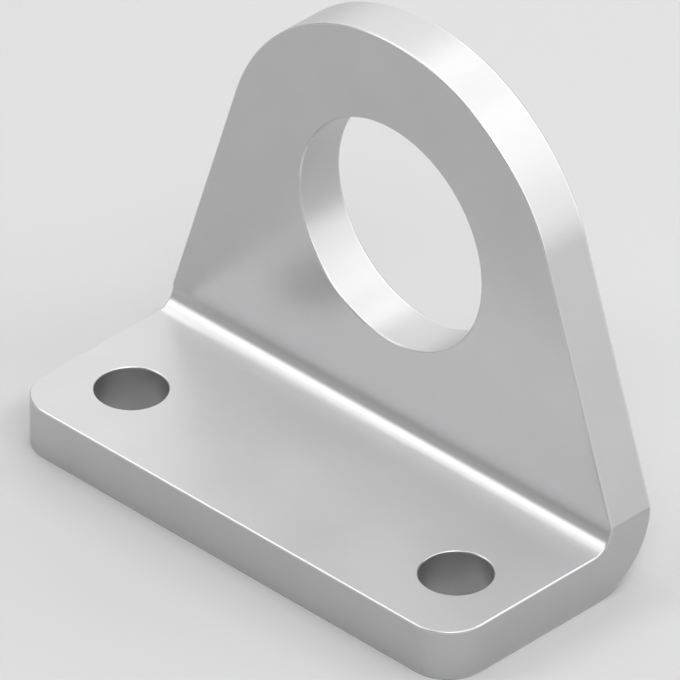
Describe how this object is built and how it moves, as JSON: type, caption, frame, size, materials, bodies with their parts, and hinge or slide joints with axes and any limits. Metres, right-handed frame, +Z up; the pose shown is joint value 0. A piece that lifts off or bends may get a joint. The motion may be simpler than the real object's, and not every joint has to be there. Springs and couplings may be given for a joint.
{
  "type": "cylinder foot mount",
  "caption": "L-shaped foot mount folded from steel plate: a round-headed upright with a large bore for a pneumatic cylinder's nose, on a flat foot with screw holes.",
  "frame": {"origin": "on the underside, at the middle of the bounding box's bottom face", "axes": "+X along the foot, +Y from the foot's free edge to the upright's rear face, +Z up"},
  "size_m": [0.054, 0.025, 0.045],
  "materials": {
    "zinc_plated_steel": "satin zinc plating"
  },
  "bodies": {
    "root": {"foot_bracket": "zinc_plated_steel"}
  },
  "joints": []
}
